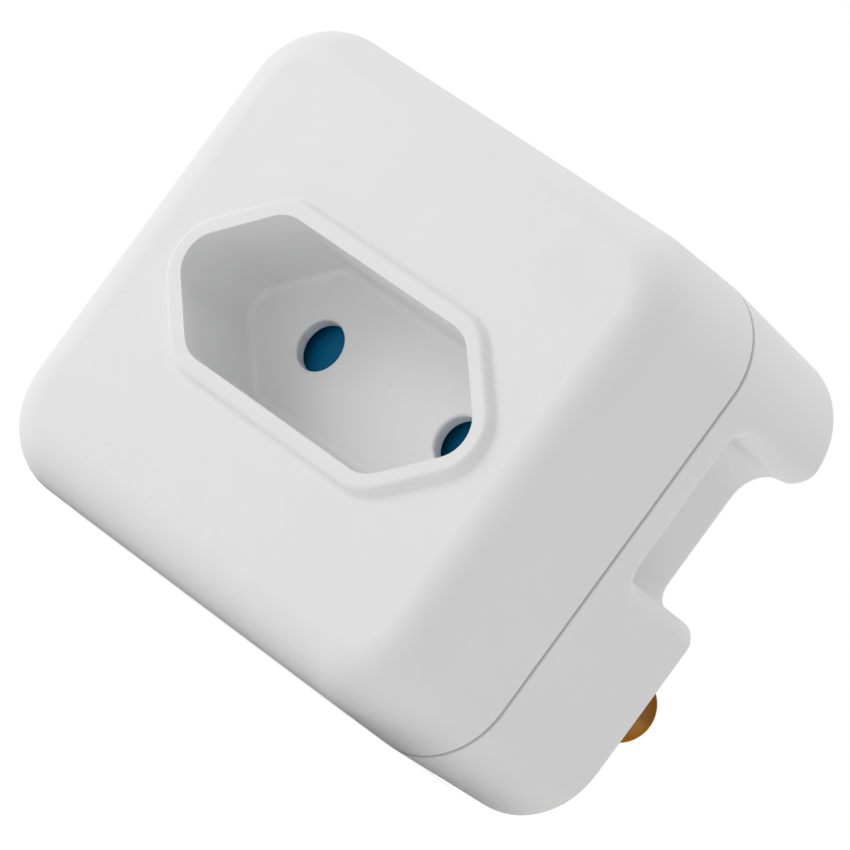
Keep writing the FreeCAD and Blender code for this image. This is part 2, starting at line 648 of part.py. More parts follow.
def rear_housing():
    """The shell that stands against the wall, with the finger grips and the pins' seats."""
    body = new_body("rear_housing")
    back = at_depth(body, "rear_outline", "0")
    add_rounded(back, "rear_half_width", "rear_half_height", "outline_round")
    groove = at_depth(body, "rear_groove_outline", "seam_depth - seam_chamfer")
    add_rounded(groove, "seam_half_width", "seam_half_height", "outline_round")
    seam = at_depth(body, "rear_seam_outline", "seam_depth")
    add_rounded(seam, "seam_half_width - seam_chamfer", "seam_half_height - seam_chamfer",
                "outline_round - seam_chamfer")
    loft(body, "AdditiveLoft", "rear_shell", back, groove, seam)
    fillet(body, "rear_edge", at_plane("0"), "rear_round")
    deep = at_depth(body, "rear_hollow_bottom", "rear_wall")
    add_rounded(deep, half_width("rear_wall") + " - wall", half_height("rear_wall") + " - wall",
                "outline_round - wall")
    mouth = at_depth(body, "rear_hollow_mouth", "seam_depth")
    add_rounded(mouth, "seam_half_width - wall", "seam_half_height - wall", "outline_round - wall")
    loft(body, "SubtractiveLoft", "rear_hollow", deep, mouth)
    tongue_out = ("front_half_width - wall - fit_gap", "front_half_height - wall - fit_gap",
                  "outline_round - wall - fit_gap")
    tongue_in = tuple(text + " - tongue_wall" for text in tongue_out)
    root = at_depth(body, "tongue_root_outline", "seam_depth - tongue_height")
    add_rounded(root, "seam_half_width - wall / 2", "seam_half_height - wall / 2", "outline_round - wall / 2")
    add_rounded(root, *tongue_in)
    pad(body, "tongue_root", root, "tongue_height")
    tongue = at_depth(body, "tongue_outline", "seam_depth - tongue_height / 2")
    add_rounded(tongue, *tongue_out)
    add_rounded(tongue, *tongue_in)
    pad(body, "tongue", tongue, "3 * tongue_height / 2")
    gap = at_depth(body, "tongue_gap_outline", "seam_depth - tongue_height")
    gap_in = "-(front_half_width - wall - fit_gap - tongue_wall - overcut)"
    gap_out = "-(front_half_width - wall + fit_gap)"
    gap_low, gap_high = FRAME_LOW + " - overcut", "rocker_height + rocker_sweep + rocker_gap"
    add_outline(gap, [(gap_out, gap_low), (gap_in, gap_low), (gap_in, gap_high), (gap_out, gap_high)])
    pocket(body, "tongue_gap", gap, "2 * tongue_height + overcut")
    low, high = "grip_low - wall", "grip_high + wall"
    for sign, name in SIDES:
        sections = []
        for level in ("rear_wall / 2", GRIP_FRONT):
            section = at_depth(body, "grip_wall_%s_%d" % (name, len(sections)), level)
            inner = "%d * (grip_floor - wall)" % sign
            outer = "%d * (%s - wall / 2)" % (sign, half_width(level))
            add_outline(section, [(inner, low), (outer, low), (outer, high), (inner, high)])
            sections.append(section)
        loft(body, "AdditiveLoft", "grip_wall_" + name, *sections)
    grips = at_depth(body, "grip_outline", "0")
    for sign, name in SIDES:
        inner, outer = "%d * grip_floor" % sign, "%d * (seam_half_width + overcut)" % sign
        add_outline(grips, [(inner, "grip_low"), (outer, "grip_low"),
                            (outer, "grip_high"), (inner, "grip_high")])
    pocket(body, "grips", grips, "grip_depth")
    floor, front = value("grip_floor"), value("grip_depth")
    below, above = value("grip_low"), value("grip_high")
    side_limit = value("rear_half_width - 2 * rear_round")

    def grip_inner_test(edge):
        low_end, high_end = box_of(edge)
        inside = low_end[2] > below - NEAR and high_end[2] < above + NEAR
        on_floor = all(abs(abs(end[0]) - floor) < NEAR for end in (low_end, high_end))
        return inside and on_floor and high_end[1] < front + NEAR and high_end[1] - low_end[1] > front / 2
    fillet(body, "grip_inner_edges", grip_inner_test, "grip_round")

    def grip_front_test(edge):
        low_end, high_end = box_of(edge)
        inside = low_end[2] > below - NEAR and high_end[2] < above + NEAR
        across = min(abs(low_end[0]), abs(high_end[0])) < value(half_width("grip_depth")) - INSIDE
        return inside and across and abs(low_end[1] - front) < NEAR and abs(high_end[1] - front) < NEAR
    fillet(body, "grip_front_edges", grip_front_test, "grip_round / 2")

    def grip_mouth_test(edge):
        low_end, high_end = box_of(edge)
        level = high_end[2] - low_end[2] < NEAR
        at_side = any(abs(low_end[2] - height) < NEAR for height in (below, above))
        outside = min(abs(low_end[0]), abs(high_end[0])) > side_limit
        return level and at_side and outside and high_end[1] - low_end[1] > front / 2
    fillet(body, "grip_mouth_edges", grip_mouth_test, "grip_lip")
    tubes = at_depth(body, "screw_tube_outlines", "rear_wall / 2")
    for right, up in CORNERS:
        add_circle(tubes, "%d * screw_across" % right, "%d * screw_up" % up, "screw_tube")
    pad(body, "screw_tubes", tubes, "seam_depth - rear_wall / 2")
    rest = at_depth(body, "rear_rest_outline", "rear_wall / 2")
    add_outline(rest, REST)
    pad(body, "rear_rest", rest, "%s - frame_cheek - fit_gap - rear_wall / 2" % SWITCH_BACK)
    heads = at_depth(body, "screw_head_outlines", "0")
    shanks = at_depth(body, "screw_shank_outlines", "0")
    for right, up in CORNERS:
        spot = ("%d * screw_across" % right, "%d * screw_up" % up)
        add_circle(heads, *spot, "screw_head + head_gap")
        add_circle(shanks, *spot, "screw_shank + screw_gap")
    pocket(body, "screw_heads", heads, "screw_seat")
    pocket(body, "screw_shanks", shanks, "seam_depth")
    seats = at_depth(body, "pin_seat_outlines", "0")
    studs = at_depth(body, "stud_outlines", "0")
    for x, z, radius in PINS.values():
        add_circle(seats, x, z, radius + " - pin_relief + pin_gap")
        add_circle(studs, x, z, "stud_radius + pin_gap")
    pocket(body, "pin_seats", seats, "pin_seat")
    pocket(body, "stud_holes", studs, "rear_wall")
    return body


# Plug pins, their nuts and the screws

PINS = {
    "live_pin": (LIVE_ACROSS, "pin_row", "live_radius"),
    "neutral_pin": (minus(LIVE_ACROSS), "pin_row", "live_radius"),
    "earth_pin": ("0", EARTH_HEIGHT, "earth_radius"),
}


def plug_pin(name, length):
    """A turned brass pin: threaded stud, grooved root and ball end."""
    x, z, radius = PINS[name]
    root = radius + " - pin_relief"
    body = new_body(name)
    profile = new_sketch(body, name + "_profile", "XY_Plane", x=x, z=z)
    add_outline(profile, [("0", "-pin_seat - stud_length"), ("stud_radius", "-pin_seat - stud_length"),
                          ("stud_radius", "-pin_seat"), (root, "-pin_seat"), (root, "pin_relief_length"),
                          (radius, "pin_relief_length"), (radius, length), ("0", length)])
    revolve(body, name + "_turning", profile)
    fillet(body, name + "_end", at_plane(minus(length)), radius + " - tip_flat")
    chamfer(body, name + "_stud_end", at_plane("pin_seat + stud_length"), "stud_chamfer")
    return body


def pin_nuts():
    """One hexagon nut on each pin's stud."""
    nuts = []
    for name, (x, z, radius) in PINS.items():
        under = STRAP_TOP if name != "earth_pin" else "rear_wall"
        prism = document.addObject("Part::Prism", name + "_nut_prism")
        prism.Polygon = 6
        # The flats face up and down.
        prism.Placement.Rotation = ALONG_Y
        bind(prism, "Circumradius", "nut_flats * 2 / sqrt(3)")
        bind(prism, "Height", "nut_height")
        place(prism, x, under, z)
        hole = rod(name + "_nut_hole", x, z, (under + " - overcut", under + " + nut_height + overcut"),
                   "stud_radius + screw_gap")
        nuts.append(cut(name + "_nut", prism, [hole]))
    return group("pin_nuts", nuts)


def screw(name, x, z, seat, length, sizes):
    """A pan-head screw with a cross recess, its head behind the seat."""
    shank, head, height = sizes
    stem = rod(name + "_shank", x, z, (seat, "%s + %s" % (seat, length)), shank)
    cap = rod(name + "_cap", x, z, ("%s - %s" % (seat, height), seat), head)
    below = "%s - %s" % (seat, height)
    long_way, short_way = head + " * cross_reach", head + " * cross_width"
    slots = []
    for number, (wide, high) in enumerate(((long_way, short_way), (short_way, long_way))):
        slots.append(block("%s_slot_%d" % (name, number), ("%s - %s" % (x, wide), "%s + %s" % (x, wide)),
                           (below + " - overcut", "%s + %s / 2" % (below, height)),
                           ("%s - %s" % (z, high), "%s + %s" % (z, high))))
    return cut(name, fuse(name + "_blank", [stem, cap]), slots)


def housing_screws():
    """Four screws, from the wall side into the front housing."""
    sizes = ("screw_shank", "screw_head", "screw_head_height")
    screws = []
    for number, (right, up) in enumerate(CORNERS):
        screws.append(screw("housing_screw_%d" % number, "%d * screw_across" % right, "%d * screw_up" % up,
                            "screw_seat", "seam_depth - screw_seat + screw_reach", sizes))
    return group("housing_screws", screws)


def carrier_screws():
    """Two screws that hold the carrier to the outlet well's bosses."""
    sizes = ("carrier_screw_shank", "carrier_screw_head", "carrier_screw_head_height")
    screws = []
    for number, up in enumerate((1, -1)):
        screws.append(screw("carrier_screw_%d" % number, "0", "%d * carrier_screw_up" % up,
                            CARRIER_BACK, "carrier_screw_length", sizes))
    return group("carrier_screws", screws)


# Shutter, its spring and the carrier that guides it

def opening_edge(sign):
    """A shutter opening's right edge, which puts the opening behind its hole when the shutter is open."""
    return "(%d * %s - shutter_travel + aperture_width / 2)" % (sign, SOCKET_ACROSS)


def shutter():
    """A sliding bar with two openings and two ramps."""
    body = new_body("shutter")
    profile = new_sketch(body, "shutter_profile", "XY_Plane")
    front, back = minus(SHUTTER_FRONT), minus(SHUTTER_BACK)
    foot = minus("%s + ramp_foot" % SHUTTER_BACK)
    points = [("shutter_left", back), (SHUTTER_RIGHT, back), (SHUTTER_RIGHT, front)]
    for sign in (1, -1):
        edge = opening_edge(sign)
        points += [(edge + " + ramp_length", front), (edge, foot), (edge, front)]
    points.append(("shutter_left", front))
    add_outline(profile, points)
    bar = pad(body, "shutter_bar", profile, "2 * shutter_half_height")
    bar.Midplane = True
    document.recompute()
    openings = at_depth(body, "shutter_openings_outline", "%s - overcut" % SHUTTER_BACK)
    for sign in (1, -1):
        high = opening_edge(sign)
        low = "%s - aperture_width" % high
        add_outline(openings, [(low, "-aperture_half_height"), (high, "-aperture_half_height"),
                               (high, "aperture_half_height"), (low, "aperture_half_height")])
    pocket(body, "shutter_openings", openings, "shutter_thickness + 2 * overcut")
    seat = new_sketch(body, "spring_pocket_outline", "YZ_Plane", z=SHUTTER_RIGHT)
    add_circle(seat, minus(SPRING_DEPTH), "0", "spring_pocket")
    pocket(body, "spring_pocket", seat, "pocket_depth", Reversed=False)
    return body


def coil(name, radius, length, turns):
    """A coil spring, made along Z: an eight-sided wire swept along short straight runs."""
    runs = round(turns * RUNS_PER_TURN)
    turn = 2 * math.pi / RUNS_PER_TURN
    spots = []
    for number in range(runs + 1):
        angle = number * turn
        spots.append(POINT(radius * math.cos(angle), radius * math.sin(angle), length * number / runs))
    along = (spots[1] - spots[0]).normalize()
    side = along.cross(POINT(0, 0, 1)).normalize() * value("spring_wire")
    corners = []
    for number in range(WIRE_SIDES + 1):
        corners.append(spots[0] + FreeCAD.Rotation(along, 360 * number / WIRE_SIDES).multVec(side))
    section = Part.makePolygon(corners)
    item = document.addObject("Part::Feature", name)
    item.Shape = Part.makePolygon(spots).makePipeShell([section], True, False, SHARP_JOINTS)
    return item


def shutter_spring():
    """The spring between the shutter and the carrier's end wall."""
    start = value(SHUTTER_RIGHT + " - pocket_depth + spring_wire + fit_gap")
    end = value("carrier_right - carrier_end - spring_wire - fit_gap")
    item = coil("shutter_spring", value("spring_radius"), end - start, value("spring_turns"))
    item.Placement = FreeCAD.Placement(POINT(start, -value(SPRING_DEPTH), 0), ALONG_X)
    return item


def contact_carrier():
    """The insulating tray behind the outlet's floor."""
    rail_low = "shutter_half_height + shutter_gap"
    top = "%s - fit_gap / 2" % FLOOR_BACK
    plate = block("carrier_plate", ("carrier_left", "carrier_right"), (CARRIER_BACK, CARRIER_FRONT),
                  ("-carrier_half_height", "carrier_half_height"))
    pieces = [plate]
    for name, low, high in (("upper", rail_low, "carrier_half_height"),
                            ("lower", "-carrier_half_height", minus(rail_low))):
        pieces.append(block("carrier_rail_" + name, ("carrier_left", "carrier_right"),
                            (CARRIER_FRONT, top), (low, high)))
    pieces.append(block("carrier_stop", ("carrier_left", "shutter_left - shutter_gap"), (CARRIER_FRONT, top),
                        ("-carrier_half_height", "carrier_half_height")))
    pieces.append(block("carrier_spring_wall", ("carrier_right - carrier_end", "carrier_right"),
                        (CARRIER_FRONT, top), ("-carrier_half_height", "carrier_half_height")))
    pieces.append(block("carrier_ears", ("-carrier_ear", "carrier_ear"), (CARRIER_BACK, CARRIER_FRONT),
                        ("-carrier_screw_up", "carrier_screw_up")))
    tools = []
    past_plate = (CARRIER_BACK + " - overcut", CARRIER_FRONT + " + overcut")
    for up, name in ((1, "upper"), (-1, "lower")):
        spot = "%d * carrier_screw_up" % up
        pieces.append(rod("carrier_ear_" + name, "0", spot, (CARRIER_BACK, CARRIER_FRONT), "carrier_ear"))
        tools.append(rod("carrier_ear_hole_" + name, "0", spot, past_plate,
                         "carrier_screw_shank + screw_gap"))
    for sign, name in SIDES:
        tools.append(rod("carrier_hole_" + name, "%d * %s" % (sign, SOCKET_ACROSS), "0", past_plate,
                         "sleeve_outer + fit_gap / 2"))
    return cut("contact_carrier", fuse("carrier_blank", pieces), tools)


# Socket contacts and straps

def socket_contact(name, sign):
    """A slotted brass sleeve with a flange behind the carrier."""
    across = "%d * %s" % (sign, SOCKET_ACROSS)
    body = new_body(name)
    profile = new_sketch(body, name + "_profile", "XY_Plane", x=across)
    front, seat = minus(CARRIER_FRONT), minus(CARRIER_BACK)
    add_outline(profile, [("sleeve_bore", front), ("sleeve_outer", front), ("sleeve_outer", seat),
                          ("sleeve_flange", seat), ("sleeve_flange", seat + " + flange_thickness"),
                          ("sleeve_outer", seat + " + flange_thickness"), ("sleeve_outer", "-sleeve_back"),
                          ("sleeve_bore", "-sleeve_back")])
    revolve(body, name + "_sleeve", profile)
    slit = at_depth(body, name + "_slit_outline", "sleeve_back - overcut")
    inner, outer = "%s - sleeve_flange" % across, "%s + sleeve_flange" % across
    add_outline(slit, [(inner, "-slit_width / 2"), (outer, "-slit_width / 2"),
                       (outer, "slit_width / 2"), (inner, "slit_width / 2")])
    pocket(body, name + "_slit", slit, "slit_length + overcut")
    return body


def contact_clips():
    """A split steel ring round each sleeve."""
    clips = []
    span = ("clip_back", "clip_back + clip_width")
    past_span = ("clip_back - overcut", "clip_back + clip_width + overcut")
    for sign, name in SIDES:
        across = "%d * %s" % (sign, SOCKET_ACROSS)
        ring = rod("clip_ring_" + name, across, "0", span, "sleeve_outer + fit_gap / 2 + clip_thickness")
        bore = rod("clip_bore_" + name, across, "0", past_span, "sleeve_outer + fit_gap / 2")
        mouth = block("clip_mouth_" + name, (across + " - slit_width", across + " + slit_width"), past_span,
                      ("0", "2 * sleeve_outer"))
        clips.append(cut("clip_" + name, ring, [bore, mouth]))
    return group("contact_clips", clips)


def eyed_strap(name, pin, pieces):
    """A strap with an eye under the nut of a pin."""
    x, z, radius = PINS[pin]
    span = ("rear_wall", STRAP_TOP)
    eye = rod(name + "_eye", x, z, span, "eye_radius")
    hole = rod(name + "_hole", x, z, ("rear_wall - overcut", STRAP_TOP + " + overcut"),
               "stud_radius + screw_gap")
    return cut(name, fuse(name + "_blank", [eye] + pieces), [hole])


def live_strap():
    """From the live pin, under the neutral pin, to the fixed tip of the switch."""
    span = ("rear_wall", STRAP_TOP)
    blade = ("-(%s - tip_height)" % FIXED_FACE, "-(%s - tip_height - strap_thickness)" % FIXED_FACE)
    leg = block("live_leg", (LIVE_ACROSS + " - strap_width / 2", LIVE_ACROSS + " + strap_width / 2"), span,
                (LIVE_RUN_LOW, "pin_row"))
    run = block("live_run", (blade[0], LIVE_ACROSS + " + strap_width / 2"), span,
                (LIVE_RUN_LOW, LIVE_RUN_LOW + " + strap_width"))
    upright = block("live_blade", blade, ("rear_wall", "blade_depth"), (LIVE_RUN_LOW, LIVE_BLADE_HIGH))
    return eyed_strap("live_strap", "live_pin", [leg, run, upright])


def neutral_strap():
    """From the neutral pin, below the sleeves, to the right socket contact."""
    span = ("rear_wall", STRAP_TOP)
    low = "%s - strap_width" % TAB_SEAT
    left, right = "-%s - strap_width / 2" % LIVE_ACROSS, "-%s + strap_width / 2" % LIVE_ACROSS
    tab_ends = (SOCKET_ACROSS + " - tab_half", SOCKET_ACROSS + " + tab_half")
    leg = block("neutral_leg", (left, right), span, ("pin_row", TAB_SEAT))
    run = block("neutral_run", (left, tab_ends[1]), span, (low, TAB_SEAT))
    tab = block("neutral_tab", tab_ends, ("rear_wall", "sleeve_back + tab_length"),
                (TAB_SEAT + " - strap_thickness", TAB_SEAT))
    return eyed_strap("neutral_strap", "neutral_pin", [leg, run, tab])


def switched_strap():
    """From the lever's fulcrum to the left socket contact."""
    start = "clip_back + clip_width + clip_clear"
    level = (start + " + tab_length", start + " + tab_length + strap_thickness")
    low, high = "rocker_height - strap_width / 2", "rocker_height + strap_width / 2"
    outside = "-%s" % FULCRUM
    tab_ends = ("-%s - tab_half" % SOCKET_ACROSS, "-%s + tab_half" % SOCKET_ACROSS)
    blade = block("switched_blade", (outside, outside + " + strap_thickness"), (level[0], "blade_depth"),
                  (low, high))
    run = block("switched_run", (outside, tab_ends[1]), level, (low, high))
    rise = block("switched_rise", tab_ends, level, (low, TAB_SEAT))
    tab = block("switched_tab", tab_ends, (start, level[1]), (TAB_SEAT + " - strap_thickness", TAB_SEAT))
    ridge = rod("fulcrum_ridge", outside, "rocker_height",
                ("rocker_depth - lever_width / 2", "rocker_depth + lever_width / 2"), "fulcrum_radius")
    half = block("fulcrum_half", (outside + " - fulcrum_radius", outside),
                 ("rocker_depth - lever_width", "rocker_depth + lever_width"),
                 ("rocker_height - fulcrum_radius", "rocker_height + fulcrum_radius"))
    return fuse("switched_strap", [blade, run, rise, tab, common("fulcrum", [ridge, half])])


# Switch

def turned(item, across, angle):
    """Put a piece that was made about the origin on its pivot, at its angle when off."""
    item.Placement.Rotation = FreeCAD.Rotation(POINT(0, 1, 0), value(angle))
    bind(item, "Placement.Rotation.Angle", angle)
    place(item, across, "rocker_depth", "rocker_height")
    return item


def rocker():
    """A shallow V-topped rocker with a hub and a stem, made about its axle."""
    width = ("-rocker_width / 2", "rocker_width / 2")
    drum = rod("rocker_drum", "0", "0", width, "rocker_sweep")
    profile = document.addObject("Sketcher::SketchObject", "rocker_profile")
    profile.Placement.Rotation = ALONG_Y
    bind(profile, "Placement.Base.y", "rocker_width / 2")
    end = "(rocker_sweep + overcut)"
    outer = "-(rocker_crown + %s * tan(rocker_tilt * 1 deg))" % end
    add_outline(profile, [("-rocker_skirt", minus(end)), ("-rocker_skirt", end), (outer, end),
                          ("-rocker_crown", "0"), (outer, minus(end))])
    crown = document.addObject("Part::Extrusion", "rocker_crown_block")
    crown.Base = profile
    crown.Dir = POINT(0, -1, 0)
    crown.DirMode = "Custom"
    crown.Solid = True
    bind(crown, "LengthFwd", "rocker_width")
    cap = common("rocker_cap", [drum, crown])
    hub = rod("rocker_hub_rod", "0", "0", width, "rocker_hub")
    stem = cross_rod("rocker_stem_rod", ("0", "rocker_stem"), "0", "0", "rocker_hub")
    hole = rod("rocker_axle_hole", "0", "0", ("-rocker_width", "rocker_width"), "axle_radius + axle_fit")
    bore = cross_rod("rocker_bore", ("bore_bottom", "rocker_stem + overcut"), "0", "0", "plunger_bore")
    return turned(cut("rocker", fuse("rocker_blank", [cap, hub, stem]), [hole, bore]),
                  "-rocker_across", "-rocker_tilt")


def rocker_axle():
    """The steel axle, held in the frame's cheeks."""
    return rod("rocker_axle", "-rocker_across", "rocker_height",
               (SWITCH_BACK + " - frame_cheek + fit_gap", SWITCH_FRONT + " + frame_cheek - fit_gap"),
               "axle_radius")


def rocker_plunger():
    """The sprung plunger that flips the lever."""
    stem = cross_rod("plunger_stem", ("plunger_back", "plunger_tip - plunger_radius"), "0", "0",
                     "plunger_radius")
    dome = document.addObject("Part::Sphere", "plunger_dome")
    bind(dome, "Radius", "plunger_radius")
    bind(dome, "Placement.Base.x", "plunger_tip - plunger_radius")
    return turned(fuse("rocker_plunger", [stem, dome]), "-rocker_across", "-rocker_tilt")


def plunger_spring():
    """The spring behind the plunger."""
    start = value("bore_bottom + spring_wire + fit_gap / 2")
    end = value("plunger_back - spring_wire - fit_gap / 2")
    item = coil("plunger_spring", value("spring_radius"), end - start, value("plunger_spring_turns"))
    tilt = FreeCAD.Rotation(POINT(0, 1, 0), value("-rocker_tilt"))
    pivot = POINT(-value("rocker_across"), -value("rocker_depth"), value("rocker_height"))
    item.Placement = FreeCAD.Placement(pivot + tilt.multVec(POINT(start, 0, 0)), tilt.multiply(ALONG_X))
    return item


def tip_button(name, base, face, depth, z):
    """A contact tip along X, with a domed face."""
    low, high = (base, face) if value(base) < value(face) else (face, base)
    blank = cross_rod(name + "_blank", (low, high), depth, z, "tip_radius")
    dome = document.addObject("Part::Sphere", name + "_dome")
    bind(dome, "Radius", "tip_crown")
    inward = minus("tip_crown") if value(base) < value(face) else "tip_crown"
    place(dome, "%s + %s" % (face, inward), depth, z)
    return common(name, [blank, dome])


def lever_pieces():
    """The see-saw lever and its tip, made about the fulcrum and turned to their place when off."""
    inner = "-(fulcrum_radius + fulcrum_gap)"
    outer = inner + " - lever_thickness"
    strip = block("lever_strip", (outer, inner), ("-lever_width / 2", "lever_width / 2"),
                  ("-lever_down", "lever_up"))
    notches = []
    for name, span in (("back", ("-lever_width", "-lever_width / 2 + lever_notch")),
                       ("front", ("lever_width / 2 - lever_notch", "lever_width"))):
        notches.append(block("lever_notch_" + name, (outer + " - overcut", inner + " + overcut"), span,
                             ("-lever_notch", "lever_notch")))
    lever = cut("contact_lever", strip, notches)
    tip = tip_button("lever_tip", inner, inner + " + tip_height", "0", "-tip_drop")
    for item in (lever, tip):
        turned(item, minus(FULCRUM), "rocker_tilt")
    return lever, tip


def fixed_tip():
    """The tip on the live strap's blade."""
    return tip_button("fixed_tip", "-(%s - tip_height)" % FIXED_FACE, minus(FIXED_FACE), "rocker_depth",
                      "rocker_height - tip_drop")


def switch_frame():
    """Two cheeks and an inner wall, with slots for the straps' blades."""
    left = "-(front_half_width - wall - fit_gap)"
    outside = "-%s" % FULCRUM
    step = outside + " - 2 * fulcrum_radius"
    inner = "-(%s - tip_height - strap_thickness - fit_gap)" % FIXED_FACE
    right = inner + " + frame_floor"
    brow = "-(recess_half_height + well_wall + frame_clear)"
    back = (SWITCH_BACK + " - frame_cheek", SWITCH_BACK)
    front = (SWITCH_FRONT, SWITCH_FRONT + " + frame_cheek")
    pieces = []
    for name, span in (("back", back), ("front", front)):
        pieces.append(block("frame_cheek_" + name, (left, step), span, (FRAME_LOW, "frame_high")))
        pieces.append(block("frame_wing_" + name, (step, right), span, (FRAME_LOW, brow)))
    pieces.append(block("frame_inner_wall", (inner, right), (back[0], front[1]), (FRAME_LOW, brow)))
    past_back = (back[0] + " - overcut", back[1] + " + overcut")
    axle = rod("frame_axle_hole", "-rocker_across", "rocker_height",
               (back[0] + " - overcut", front[1] + " + overcut"), "axle_radius + axle_fit / 2")
    switched = block("frame_switched_slot",
                     (outside + " - fit_gap", outside + " + strap_thickness + fit_gap"), past_back,
                     ("rocker_height - strap_width / 2 - fit_gap", brow + " + overcut"))
    live = block("frame_live_slot", ("-(%s - tip_height) - fit_gap" % FIXED_FACE, inner), past_back,
                 (FRAME_LOW + " - overcut", LIVE_BLADE_HIGH + " + fit_gap"))
    return cut("switch_frame", fuse("frame_blank", pieces), [axle, switched, live])


lever, lever_tip = lever_pieces()
PARTS = {
    "front_housing": front_housing(),
    "rear_housing": rear_housing(),
    "live_pin": plug_pin("live_pin", "live_length"),
    "neutral_pin": plug_pin("neutral_pin", "live_length"),
    "earth_pin": plug_pin("earth_pin", "earth_length"),
    "pin_nuts": pin_nuts(),
    "housing_screws": housing_screws(),
    "carrier_screws": carrier_screws(),
    "shutter": shutter(),
    "shutter_spring": shutter_spring(),
    "contact_carrier": contact_carrier(),
    "live_socket_contact": socket_contact("live_socket_contact", -1),
    "neutral_socket_contact": socket_contact("neutral_socket_contact", 1),
    "contact_clips": contact_clips(),
    "live_strap": live_strap(),
    "neutral_strap": neutral_strap(),
    "switched_strap": switched_strap(),
    "rocker": rocker(),
    "rocker_axle": rocker_axle(),
    "rocker_plunger": rocker_plunger(),
    "plunger_spring": plunger_spring(),
    "contact_lever": lever,
    "lever_tip": lever_tip,
    "fixed_tip": fixed_tip(),
    "switch_frame": switch_frame(),
}
document.recompute()

# Every object has to be sound before anything is written

for item in document.Objects:
    if "Invalid" in item.State or "Error" in item.State:
        raise RuntimeError("%s failed: %s" % (item.Name, item.State))
for name, item in PARTS.items():
    item.Label = name
    if item.Shape.isNull() or not item.Shape.isValid() or item.Shape.Volume <= 0:
        raise RuntimeError(name + " has no sound shape")

os.makedirs("parts", exist_ok=True)
for name, item in PARTS.items():
    item.Shape.exportStep("parts/%s.step" % name)
    limits = item.Shape.BoundBox
    print("%-24s %d solid(s) %9.2f mm3  x %.2f %.2f  y %.2f %.2f  z %.2f %.2f" % (
        name, len(item.Shape.Solids), item.Shape.Volume, limits.XMin, limits.XMax,
        limits.YMin, limits.YMax, limits.ZMin, limits.ZMax))
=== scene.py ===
"""Looks of the switched two-pin outlet adapter, in the frame of its CAD model, in metres."""

import math

import bmesh
import bpy
import numpy as np
from mathutils import Matrix, Vector


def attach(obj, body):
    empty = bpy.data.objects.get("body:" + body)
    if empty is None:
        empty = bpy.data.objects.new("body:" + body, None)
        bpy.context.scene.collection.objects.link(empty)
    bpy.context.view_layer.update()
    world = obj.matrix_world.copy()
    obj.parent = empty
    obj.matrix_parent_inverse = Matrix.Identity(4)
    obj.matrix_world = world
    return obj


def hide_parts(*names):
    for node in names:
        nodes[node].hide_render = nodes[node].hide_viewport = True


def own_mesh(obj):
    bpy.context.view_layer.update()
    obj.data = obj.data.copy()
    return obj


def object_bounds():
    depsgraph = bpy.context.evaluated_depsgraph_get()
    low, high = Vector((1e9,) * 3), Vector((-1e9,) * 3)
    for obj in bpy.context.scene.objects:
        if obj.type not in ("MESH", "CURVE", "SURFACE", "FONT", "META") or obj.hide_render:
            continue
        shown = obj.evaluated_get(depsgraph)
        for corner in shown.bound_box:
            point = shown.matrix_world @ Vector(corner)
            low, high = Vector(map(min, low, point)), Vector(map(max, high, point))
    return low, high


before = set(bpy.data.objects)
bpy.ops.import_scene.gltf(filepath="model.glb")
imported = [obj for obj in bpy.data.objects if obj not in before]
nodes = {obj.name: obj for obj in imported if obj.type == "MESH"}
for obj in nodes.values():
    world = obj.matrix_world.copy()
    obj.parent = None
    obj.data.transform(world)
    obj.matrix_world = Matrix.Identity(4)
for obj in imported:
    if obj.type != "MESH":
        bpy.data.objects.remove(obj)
cad_low, cad_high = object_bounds()

MM = 0.001
# The plane in which the two shells meet.
SEAM_Y = -20 * MM
# Points of a node's loose triangles that lie closer than this are one point.
SAME_POINT = 0.001 * MM
# Faces that meet at more than this keep a hard edge between them.
HARD_EDGE = math.radians(32)


# Pieces made again from a node

def merged(node):
    """A copy of a node's mesh, its loose triangles merged."""
    work = bmesh.new()
    work.from_mesh(nodes[node].data)
    bmesh.ops.remove_doubles(work, verts=work.verts[:], dist=SAME_POINT)
    return work


def stand_in(name, work, body, node):
    """The worked mesh as a smooth object that rides a body and replaces the node."""
    for edge in work.edges:
        edge.smooth = edge.calc_face_angle(0) < HARD_EDGE
    for face in work.faces:
        face.smooth = True
    mesh = bpy.data.meshes.new(name)
    work.to_mesh(mesh)
    work.free()
    piece = bpy.data.objects.new(name, mesh)
    bpy.context.collection.objects.link(piece)
    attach(piece, body)
    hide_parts(node)
    return piece


# Finger grips. Their points are worked on as seen from the side wall: across from the centre
# plane, deep from the wall face towards the front, and high.

# The grips' floor from the centre plane, their lower and upper side, and their front end's depth.
GRIP_FLOOR, GRIP_LOW, GRIP_HIGH, GRIP_FRONT = 20.1 * MM, -0.9 * MM, 14.2 * MM, 14.8 * MM
# The side wall stands this far out at the wall face, and leans out by this share of the depth.
SIDE_OUT, SIDE_LEAN = 26.0 * MM, 2.05 / 20
# Roundings of the front end, the upper side and the lower side: at the mouth, and along the floor.
MOUTH_ROUNDS = (2.0 * MM, 2.7 * MM, 1.9 * MM)
FLOOR_ROUNDS = (1.6 * MM, 3.6 * MM, 2.0 * MM)
# One side's rounding fades into the next one's over about this distance.
BLEND_REACH = 1.2 * MM
# Rounding of the two front corners of the mouth's outline.
CORNER_ROUND = 1.6 * MM
# Roundings of the wall face's edge: round the grips, and round the housing.
FLARE_ROUND, REAR_ROUND = 1.3 * MM, 1.6 * MM
# The smallest rounding that the mouth comes down to at the wall face.
LEAST_ROUND = 0.1 * MM
# The upper screws' bores open beside the grips: their place across and up, and their radius.
BORE_ACROSS, BORE_UP, BORE_ROUND = 21.0 * MM, 18.0 * MM, 2.9 * MM
